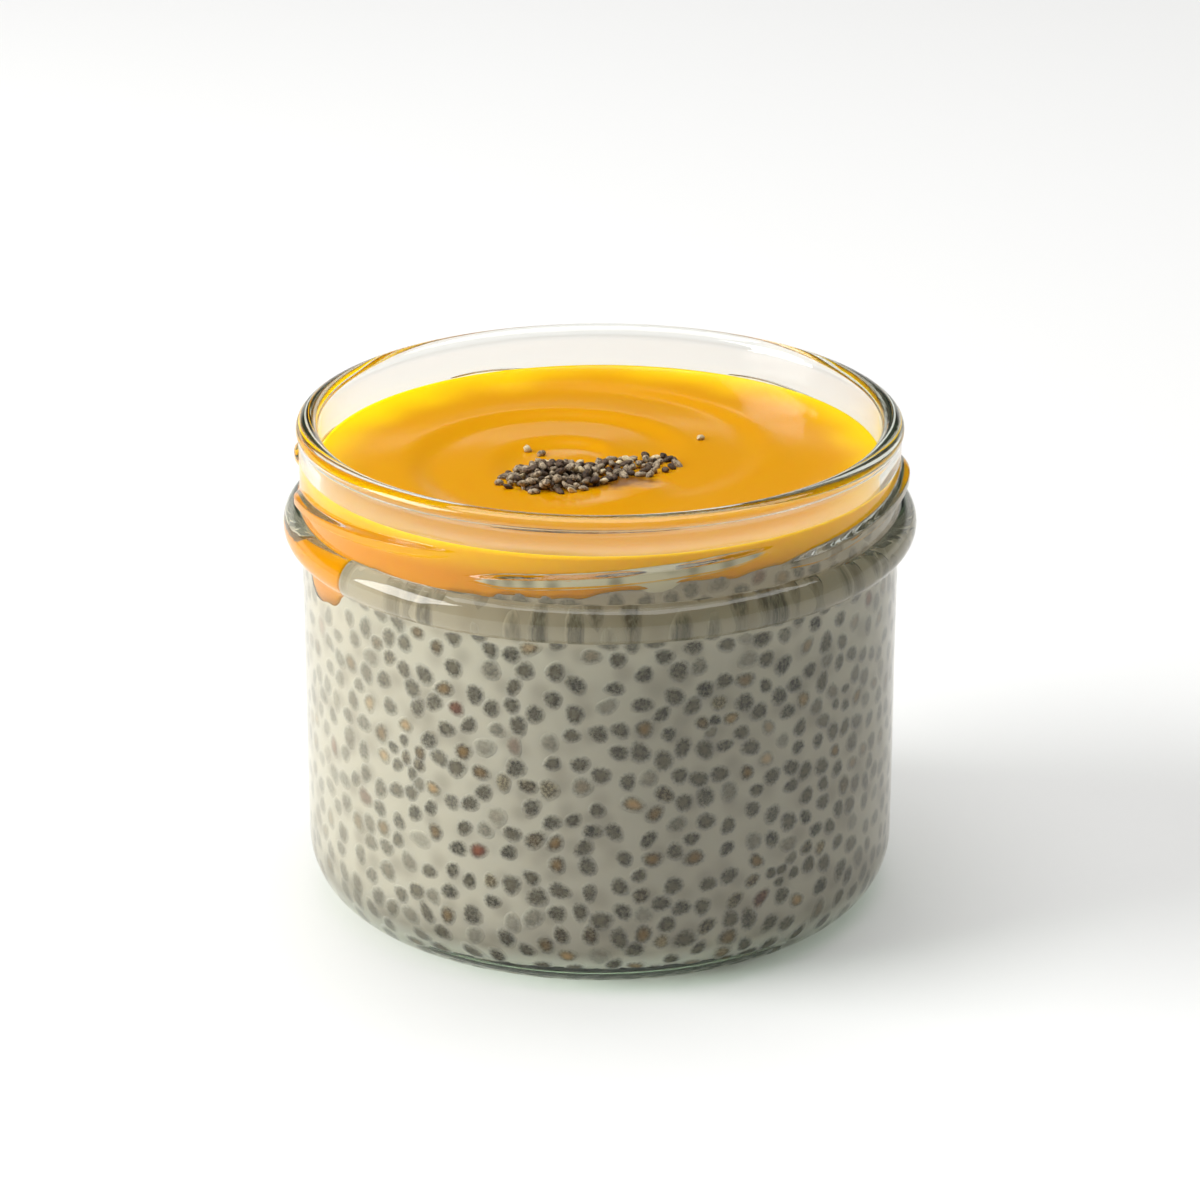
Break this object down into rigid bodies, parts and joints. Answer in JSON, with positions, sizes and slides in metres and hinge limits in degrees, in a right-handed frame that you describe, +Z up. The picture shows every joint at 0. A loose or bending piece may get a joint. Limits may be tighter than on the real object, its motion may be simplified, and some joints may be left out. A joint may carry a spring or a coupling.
{
  "type": "chia pudding in a glass jar",
  "caption": "Chia pudding in a low round glass jar with a threaded neck, under a swirled layer of mango puree with a small heap of dry chia seeds.",
  "frame": {"origin": "middle of the jar's base, on the surface that it stands on", "axes": "+Z up along the jar's axis; -Y is the front of the picture, where the mango hangs lowest at the left; +X to the right"},
  "size_m": [0.082, 0.082, 0.0642],
  "materials": {
    "clear_glass": "clear pressed soda-lime glass, smooth, faintly green in the thick base",
    "chia_pudding": "off-white plant milk set to a soft jelly, moist",
    "mango_puree": "smooth thick fruit puree, wet sheen",
    "soaked_chia_seed": "soaked seeds in their own jelly, grey to brown",
    "dry_chia_seed": "dry seeds, grey-brown with a soft sheen, a few cream"
  },
  "bodies": {
    "root": {"glass_jar": "clear_glass", "chia_pudding": "chia_pudding", "mango_puree": "mango_puree"}
  },
  "joints": []
}
